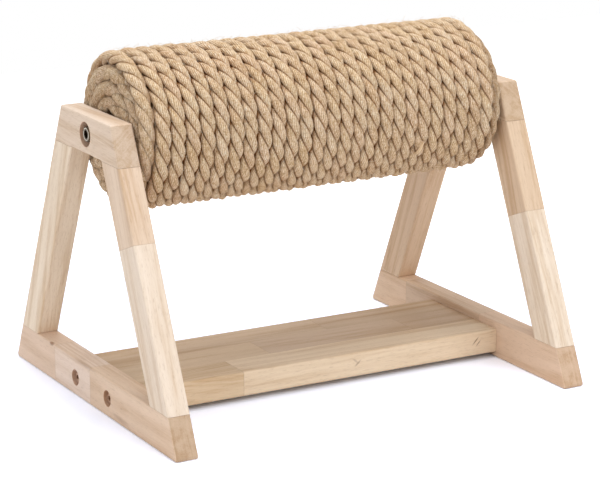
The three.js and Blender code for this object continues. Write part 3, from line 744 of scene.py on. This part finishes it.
def length_number(nodes, along, side, strips):
    """Which length of timber a point is in, and where two lengths meet."""
    number, joint = 0.0, 0.0
    first, near_edge = 0, -1.0
    for far_edge, cuts, tones in strips:
        past = nodes.math("GREATER_THAN", side, near_edge)
        inside = nodes.math("MULTIPLY", past, nodes.math("LESS_THAN", side, far_edge))
        index = float(first)
        for cut in cuts:
            index = nodes.math("ADD", index, nodes.math("GREATER_THAN", along, cut))
            apart = nodes.math("ABSOLUTE", nodes.math("SUBTRACT", along, cut))
            line = nodes.smooth_range(apart, GLUE_LINE, 3 * GLUE_LINE, 1.0, 0.0)
            joint = nodes.math("MAXIMUM", joint, nodes.math("MULTIPLY", line, inside))
        number = nodes.math("MULTIPLY_ADD", inside, index, number)
        first += len(tones)
        near_edge = far_edge
    return number, joint


def timber_figure(nodes, number, along, side, depth):
    """Growth rings, broad bands, fibres and pores, different in each length."""
    shift = nodes.math("MULTIPLY", number, 3.71)
    turned = nodes.math("FRACT", nodes.math("MULTIPLY", number, TREE_TURN))
    lean = nodes.math("SUBTRACT", turned, 0.5)
    turned = nodes.math("FRACT", nodes.math("MULTIPLY", number, PITH_TURN))
    pith_depth = nodes.math("MULTIPLY_ADD", turned, PITH_DEPTHS[1], PITH_DEPTHS[0])
    ring_x = nodes.math("MULTIPLY_ADD", lean, RING_LEAN[0], side)
    lean_along = nodes.math("MULTIPLY", nodes.math("MULTIPLY", lean, RING_LEAN[1]), along)
    ring_x = nodes.math("ADD", ring_x, lean_along)
    ring_y = nodes.math("ADD", depth, pith_depth)
    radius = nodes.vector_math("LENGTH", nodes.combine(ring_x, ring_y))
    sway = nodes.noise(nodes.combine(
        nodes.math("MULTIPLY_ADD", along, 9.0, shift),
        nodes.math("MULTIPLY", side, 26.0),
        nodes.math("MULTIPLY", depth, 26.0),
    ), 1.0, 2.0)
    radius = nodes.math("MULTIPLY_ADD", sway, RING_SWAY, radius)
    ring_place = nodes.combine(nodes.math("MULTIPLY", radius, RING_SCALE), shift)
    rings = nodes.noise(ring_place, 1.0, 2.0, 0.6)

    def streaks(long_scale, cross_scale, detail, roughness=0.55):
        return nodes.noise(nodes.combine(
            nodes.math("MULTIPLY_ADD", along, long_scale, shift),
            nodes.math("MULTIPLY_ADD", side, cross_scale, shift),
            nodes.math("MULTIPLY", depth, cross_scale),
        ), 1.0, detail, roughness)

    return rings, streaks(5.0, 75.0, 2.0), streaks(28.0, 620.0, 3.0), streaks(120.0, 1500.0, 1.0)


def with_knot(nodes, colour, point, axes, fibres, knot):
    place, size, stretch, slant, strength = knot
    apart = nodes.vector_math("SUBTRACT", point, place)
    on, beside, below = (nodes.dot(apart, axis) for axis in axes)
    lifted = nodes.math("MULTIPLY", nodes.math("ADD", beside, below), slant)
    on = nodes.math("DIVIDE", nodes.math("SUBTRACT", on, lifted), stretch)
    apart = nodes.vector_math("LENGTH", nodes.combine(on, beside, below))
    apart = nodes.math("MULTIPLY_ADD", fibres, KNOT_RAGGED * size, apart)
    depth = nodes.smooth_range(apart, 0.0, KNOT_EDGE * size, strength, 0.0)
    return nodes.mix(depth, colour, KNOT_COLOUR)


def with_bore(nodes, colour, point, bore):
    """Painted shade on the cut wood of a bore along X: within its radius the colour goes a warmer,
    darker brown.
    """
    y, z, radius = bore
    apart = nodes.vector_math("SUBTRACT", point, (0, y, z))
    from_axis = nodes.vector_math("LENGTH", nodes.vector_math("MULTIPLY", apart, (0, 1, 1)))
    inside = nodes.math("LESS_THAN", from_axis, radius)
    return nodes.mix(nodes.math("MULTIPLY", inside, BORE_SHADE), colour, BORE_SHADE_COLOUR)


def timber_material(
    name, grain, across, strips, end_shade, knots=(), bores=(), top_light_and_shade=NO_CHANGE,
):
    """Planed hardwood glued up from lengths. grain and across are unit vectors; strips are
    (far edge, cuts, tones): where a strip ends across the piece, where it is cut, and its colours.
    knots are (place, size, stretch along the grain, slant, strength), and bores (y, z, radius).
    The first shade multiplies the colour of end grain; the second, the colour of faces that look up,
    as painted light or painted shade for how the lamps fall on top faces."""
    nodes = Nodes(name)
    point = nodes.object_point()
    axes = grain, across, Vector(grain).cross(Vector(across))
    along, side, depth = (nodes.dot(point, axis) for axis in axes)
    number, joint = length_number(nodes, along, side, strips)
    tones = [tone for _, _, tones in strips for tone in tones]
    place = nodes.math("DIVIDE", nodes.math("ADD", number, 0.5), float(len(tones)))
    tone = nodes.ramp(place, [(i / len(tones), linear(*t)) for i, t in enumerate(tones)], "CONSTANT")
    rings, bands, fibres, pores = timber_figure(nodes, number, along, side, depth)
    figure = nodes.math("MULTIPLY", nodes.smooth_range(rings, 0.3, 0.7), RINGS_SHARE)
    figure = nodes.math("MULTIPLY_ADD", nodes.smooth_range(bands, 0.3, 0.7), BANDS_SHARE, figure)
    figure = nodes.math("MULTIPLY_ADD", nodes.smooth_range(fibres, 0.3, 0.7), FIBRES_SHARE, figure)
    colour = nodes.mix(1.0, tone, nodes.ramp(figure, FIGURE_SHADES), "MULTIPLY")
    in_pore = nodes.smooth_range(pores, *PORES, 0.0, PORE_SHADE)
    colour = nodes.mix(in_pore, colour, PORE_COLOUR)
    facing_along = nodes.math("ABSOLUTE", nodes.dot(nodes.object_normal(), grain))
    end_grain = nodes.smooth_range(facing_along, *END_GRAIN)
    colour = nodes.mix(end_grain, colour, nodes.mix(1.0, colour, end_shade, "MULTIPLY"))
    # painted light and shade: faces that look up are made lighter or darker for how the lamps fall
    # on them
    upwards = nodes.smooth_range(nodes.separate(nodes.object_normal())[2], *UPWARDS)
    colour = nodes.mix(upwards, colour, nodes.mix(1.0, colour, top_light_and_shade, "MULTIPLY"))
    for knot in knots:
        colour = with_knot(nodes, colour, point, axes, fibres, knot)
    for bore in bores:
        colour = with_bore(nodes, colour, point, bore)
    colour = nodes.mix(nodes.math("MULTIPLY", joint, JOINT_SHADE), colour, JOINT_COLOUR)
    nodes.put(nodes.shader.inputs["Base Color"], colour)
    roughness = nodes.math("MULTIPLY_ADD", fibres, 0.22, 0.46)
    nodes.put(nodes.shader.inputs["Roughness"], roughness)
    nodes.put(nodes.shader.inputs["Specular IOR Level"], 0.35)
    height = nodes.math("MULTIPLY", fibres, 0.5)
    height = nodes.math("SUBTRACT", height, nodes.smooth_range(pores, *PORES))
    nodes.bump(nodes.math("SUBTRACT", height, joint), TIMBER_RELIEF, 0.8)
    return nodes.material


def leg_axes(back):
    """Along a leg, upwards, and across it."""
    lean = -LEG_LEAN if back else LEG_LEAN
    return Vector((0, lean, 1)).normalized(), Vector((0, 1, -lean)).normalized()


WHOLE = 1.0  # a strip that reaches right across its piece
BASE_BORE_RADIUS = 0.0087
AXLE_BORE_RADIUS = 0.0129
LEG_END_SHADE = (0.85, 0.82, 0.78)
SHARP_ANGLE = math.radians(32)


def paint(node_name, material):
    """Gives a CAD node its material, with its edges kept sharp."""
    node = nodes[node_name]
    node.data.materials.clear()
    node.data.materials.append(material)
    node.data.shade_smooth()
    node.data.set_sharp_from_angle(angle=SHARP_ANGLE)


def dress_rails():
    bolt_low, bolt_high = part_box("left_front_base_bolt")
    bolt_y, bolt_z = (bolt_low.y + bolt_high.y) / 2, (bolt_low.z + bolt_high.z) / 2
    bores = [(side * bolt_y, bolt_z, BASE_BORE_RADIUS) for side in (1, -1)]
    paint("left_bottom_rail", timber_material(
        "left_rail_timber", RAIL_AXIS, UP,
        [(WHOLE, (0.0023, 0.0899), ((221, 193, 167), (228, 205, 187), (220, 192, 168)))],
        (0.74, 0.71, 0.66),
        [
            ((-0.2350, 0.0985, 0.0392), 0.0026, 2.4, 0.0, 0.8),
            ((-0.2355, 0.0150, 0.0397), 0.0030, 9.0, 0.0, 0.35),
            ((-0.2355, -0.0700, 0.0060), 0.0034, 6.0, 1.2, 0.30),
        ],
        bores,
    ))
    paint("right_bottom_rail", timber_material(
        "right_rail_timber", RAIL_AXIS, UP,
        [(WHOLE, (-0.031, 0.118), ((218, 188, 162), (212, 184, 158), (224, 194, 166)))],
        (0.86, 0.84, 0.80), (), bores,
    ))


def dress_blocks():
    bores = [(0.0, AXLE_HEIGHT, AXLE_BORE_RADIUS)]
    # tone, end-grain shade, and painted light on the top face: the left block's top is painted
    # lighter
    blocks = {
        "left": ((221, 198, 176), (0.84, 0.82, 0.79), (1.03, 1.06, 1.10)),
        "right": ((217, 191, 165), (0.86, 0.83, 0.78), NO_CHANGE),
    }
    for side, (tone, end_shade, top_light_and_shade) in blocks.items():
        paint(side + "_top_block", timber_material(
            side + "_block_timber", RAIL_AXIS, UP, [(WHOLE, (), (tone,))],
            end_shade, (), bores, top_light_and_shade,
        ))


def dress_legs():
    legs = {
        "left_front_leg": (0.1405, ((229, 210, 190), (223, 198, 174))),
        "left_back_leg": (0.31, ((231, 211, 188), (231, 211, 188))),
        "right_front_leg": (0.1195, ((232, 214, 194), (217, 190, 162))),
        "right_back_leg": (-0.02, ((218, 188, 158), (218, 188, 158))),
    }
    for leg, (cut, tones) in legs.items():
        grain, across = leg_axes("back" in leg)
        strips = [(WHOLE, (cut,), tones)]
        paint(leg, timber_material(leg + "_timber", grain, across, strips, LEG_END_SHADE))


def dress_board():
    paint("base_board", timber_material(
        "board_timber", BOARD_AXIS, RAIL_AXIS,
        [
            (-0.024, (-0.0958,), ((221, 195, 163), (230, 206, 177))),
            (0.021, (-0.042, 0.133), ((215, 188, 157), (209, 182, 155), (204, 176, 148))),
            (WHOLE, (-0.128, 0.052), ((213, 186, 156), (208, 181, 152), (202, 174, 145))),
        ],
        (0.8, 0.77, 0.72),
        [
            ((0.1850, -0.0660, 0.0225), 0.0046, 0.30, 0.9, 0.70),
            ((0.1885, -0.0660, 0.0195), 0.0036, 0.30, 0.9, 0.60),
            ((0.0355, -0.0660, 0.0235), 0.0034, 0.60, -1.0, 0.30),
            ((0.0385, -0.0660, 0.0205), 0.0038, 0.50, 1.0, 0.42),
        ],
        # painted shadow: the board's top is darkened for the drum above it
        (), (0.92, 0.91, 0.90),
    ))


# ---------------------------------------------------------------- steel and paperboard

def steel_material(name, dark, light, metallic=1.0):
    nodes = Nodes(name)
    point = nodes.object_point()
    mottle = nodes.noise(point, 900.0, 3.0)
    colour = nodes.ramp(mottle, [(0.3, linear(*dark)), (0.7, linear(*light))])
    nodes.put(nodes.shader.inputs["Base Color"], colour)
    nodes.put(nodes.shader.inputs["Metallic"], metallic)
    nodes.put(nodes.shader.inputs["Roughness"], nodes.smooth_range(mottle, 0.3, 0.7, 0.26, 0.44))
    nodes.bump(nodes.noise(point, 2500.0, 2.0), 0.00004, 0.4)
    return nodes.material


AXLE_RING = (0.0056, 0.0063)  # radii between which the head of an axle bolt gets a painted highlight, a bright ring
RING_FADE = 0.0005
PAINTED_HIGHLIGHT = linear(226, 220, 204)


def axle_bolt_material():
    """Blackened steel, with a painted highlight: a bright ring round the socket, in patches."""
    nodes = Nodes("blackened_steel")
    point = nodes.object_point()
    from_axis = nodes.vector_math("SUBTRACT", point, (0, 0, AXLE_HEIGHT))
    radius = nodes.vector_math("LENGTH", nodes.vector_math("MULTIPLY", from_axis, (0, 1, 1)))
    mottle = nodes.noise(point, 900.0, 3.0)
    inner, outer = AXLE_RING
    ring = nodes.math(
        "MULTIPLY",
        nodes.smooth_range(radius, inner - RING_FADE, inner + RING_FADE),
        nodes.smooth_range(radius, outer - RING_FADE, outer + RING_FADE, 1.0, 0.0),
    )
    black = nodes.ramp(mottle, [(0.3, linear(50, 40, 30)), (0.7, linear(102, 86, 66))])
    patchy = nodes.smooth_range(nodes.noise(point, 260.0, 2.0), 0.36, 0.56)
    # painted highlight: a bright ring on the head of the bolt, in patches
    colour = nodes.mix(nodes.math("MULTIPLY", ring, patchy), black, PAINTED_HIGHLIGHT)
    nodes.put(nodes.shader.inputs["Base Color"], colour)
    nodes.put(nodes.shader.inputs["Metallic"], 1.0)
    nodes.put(nodes.shader.inputs["Roughness"], nodes.smooth_range(mottle, 0.3, 0.7, 0.28, 0.46))
    nodes.bump(mottle, 0.00005, 0.4)
    return nodes.material


def paperboard_material():
    nodes = Nodes("paperboard")
    point = nodes.object_point()
    pulp = nodes.noise(nodes.vector_math("MULTIPLY", point, (260.0, 900.0, 900.0)), 1.0, 3.0)
    colour = nodes.ramp(pulp, [(0.3, linear(146, 116, 82)), (0.7, linear(182, 150, 112))])
    nodes.put(nodes.shader.inputs["Base Color"], colour)
    nodes.put(nodes.shader.inputs["Roughness"], 0.88)
    nodes.bump(pulp, 0.00015, 0.5)
    return nodes.material


def dowel_material():
    nodes = Nodes("beech_dowel")
    point = nodes.object_point()
    streak = nodes.noise(nodes.vector_math("MULTIPLY", point, (900.0, 900.0, 60.0)), 1.0, 3.0)
    colour = nodes.ramp(streak, [(0.3, linear(176, 138, 98)), (0.7, linear(214, 181, 140))])
    nodes.put(nodes.shader.inputs["Base Color"], colour)
    nodes.put(nodes.shader.inputs["Roughness"], 0.66)
    nodes.bump(streak, 0.0001, 0.5)
    return nodes.material


STEEL_PIECES = ("bolt", "washer", "insert", "sleeve")


def dress_fittings():
    """Steel, beech and paperboard for all that isn't timber or rope."""
    steel = steel_material("zinc_steel", (142, 140, 136), (196, 195, 192))
    # steel coloured brown for the base bolts and washers, only partly metallic
    brown = steel_material("brown_steel", (130, 92, 66), (206, 168, 136), 0.6)
    beech, paperboard, blackened = dowel_material(), paperboard_material(), axle_bolt_material()
    for name in nodes:
        if "axle_bolt" in name:
            paint(name, blackened)
        elif "base_bolt" in name or "base_washer" in name:
            paint(name, brown)
        elif any(piece in name for piece in STEEL_PIECES):
            paint(name, steel)
        elif "dowel" in name or "disc" in name:
            paint(name, beech)
        elif "tube" in name:
            paint(name, paperboard)


# ---------------------------------------------------------------- camera, floor and light

CAMERA_PLACE = Vector((-1.1574, -2.0713, 0.7724))
CAMERA_TARGET = Vector((0.0064, 0.0, 0.1420))
CAMERA_LENS = 141.2  # mm, on a sensor 36 mm wide


def make_camera():
    data = bpy.data.cameras.new("camera")
    data.lens = CAMERA_LENS
    data.sensor_width = 36
    data.clip_end = 50
    camera = bpy.data.objects.new("camera", data)
    camera.location = CAMERA_PLACE
    camera.rotation_mode = "QUATERNION"
    camera.rotation_quaternion = (CAMERA_TARGET - CAMERA_PLACE).to_track_quat("-Z", "Y")
    bpy.context.scene.collection.objects.link(camera)
    bpy.context.scene.camera = camera


def make_area_lamp(name, place, side, power):
    data = bpy.data.lights.new(name, "AREA")
    data.shape = "RECTANGLE"
    data.size, data.size_y = side, side
    data.energy = power
    lamp = bpy.data.objects.new(name, data)
    lamp.location = place
    lamp.rotation_mode = "QUATERNION"
    lamp.rotation_quaternion = (Vector(LAMPS_TARGET) - Vector(place)).to_track_quat("-Z", "Y")
    bpy.context.scene.collection.objects.link(lamp)


WORLD_LEVEL = 0.485
LAMPS_TARGET = (0, 0, 0.15)
LAMPS = (  # name, place, side and power
    ("key", (0.9, -2.4, 2.2), 1.8, 34),
    ("fill", (-2.6, -0.8, 1.4), 1.8, 19.4),
    ("top", (0, 0.1, 2.8), 1.1, 37),
)


def seen_directly(tree):
    """One for what the camera sees, straight or in a reflection, and nought for light."""
    path = tree.nodes.new("ShaderNodeLightPath")
    seen = path.outputs["Is Camera Ray"]
    for ray in ("Is Glossy Ray", "Is Transmission Ray"):
        either = tree.nodes.new("ShaderNodeMath")
        either.operation = "MAXIMUM"
        tree.links.new(seen, either.inputs[0])
        tree.links.new(path.outputs[ray], either.inputs[1])
        seen = either.outputs[0]
    return seen


def make_light():
    """An even white surround and three soft lamps. The camera sees the surround as white."""
    world = bpy.data.worlds.new("studio")
    bpy.context.scene.world = world
    world.use_nodes = True
    tree = world.node_tree
    background = tree.nodes["Background"]
    level = tree.nodes.new("ShaderNodeMapRange")
    level.inputs["To Min"].default_value = WORLD_LEVEL
    level.inputs["To Max"].default_value = 1.0
    tree.links.new(seen_directly(tree), level.inputs["Value"])
    tree.links.new(level.outputs[0], background.inputs["Strength"])
    background.inputs["Color"].default_value = (1, 1, 1, 1)
    for name, place, side, power in LAMPS:
        make_area_lamp(name, place, side, power)


FLOOR_HALF = 1.7
FLOOR_COLOUR = (0.90, 0.90, 0.91, 1)
FLOOR_SEEN_NEAR = (1.15, 1.22, 1.40, 1)  # white where no shadow falls
FLOOR_SEEN_FAR = (1.45, 1.45, 1.48, 1)
FLOOR_NEAR, FLOOR_FAR = 0.35, 0.80  # metres from the middle


def make_floor():
    """A floor that the camera sees as white wherever no shadow falls on it."""
    material = bpy.data.materials.new("floor")
    material.use_nodes = True
    tree = material.node_tree
    tree.nodes.remove(tree.nodes["Principled BSDF"])
    plain = tree.nodes.new("ShaderNodeMix")
    plain.data_type = "RGBA"
    plain.inputs[6].default_value = FLOOR_COLOUR
    place = tree.nodes.new("ShaderNodeTexCoord")
    distance = tree.nodes.new("ShaderNodeVectorMath")
    distance.operation = "LENGTH"
    tree.links.new(place.outputs["Object"], distance.inputs[0])
    far = tree.nodes.new("ShaderNodeMapRange")
    far.interpolation_type = "SMOOTHSTEP"
    far.inputs["From Min"].default_value = FLOOR_NEAR
    far.inputs["From Max"].default_value = FLOOR_FAR
    tree.links.new(distance.outputs["Value"], far.inputs["Value"])
    seen = tree.nodes.new("ShaderNodeMix")
    seen.data_type = "RGBA"
    seen.inputs[6].default_value = FLOOR_SEEN_NEAR
    seen.inputs[7].default_value = FLOOR_SEEN_FAR
    tree.links.new(far.outputs[0], seen.inputs["Factor"])
    tree.links.new(seen.outputs[2], plain.inputs[7])
    diffuse = tree.nodes.new("ShaderNodeBsdfDiffuse")
    tree.links.new(seen_directly(tree), plain.inputs["Factor"])
    tree.links.new(plain.outputs[2], diffuse.inputs["Color"])
    tree.links.new(diffuse.outputs[0], tree.nodes["Material Output"].inputs["Surface"])
    corners = [(-1, -1), (1, -1), (1, 1), (-1, 1)]
    places = [(x * FLOOR_HALF, y * FLOOR_HALF, 0.0) for x, y in corners]
    mesh_piece("floor", places, [[0, 1, 2, 3]], material)


# ---------------------------------------------------------------- the scene

bpy.context.scene.view_settings.view_transform = "Standard"
make_camera()
make_light()
make_floor()
dress_rails()
dress_blocks()
dress_legs()
dress_board()
dress_fittings()
surface = rope_surface()
jute_rope(surface, jute_material())
loose_jute = hair_material()
rope_hairs(surface, loose_jute)
loose_yarns(loose_jute)
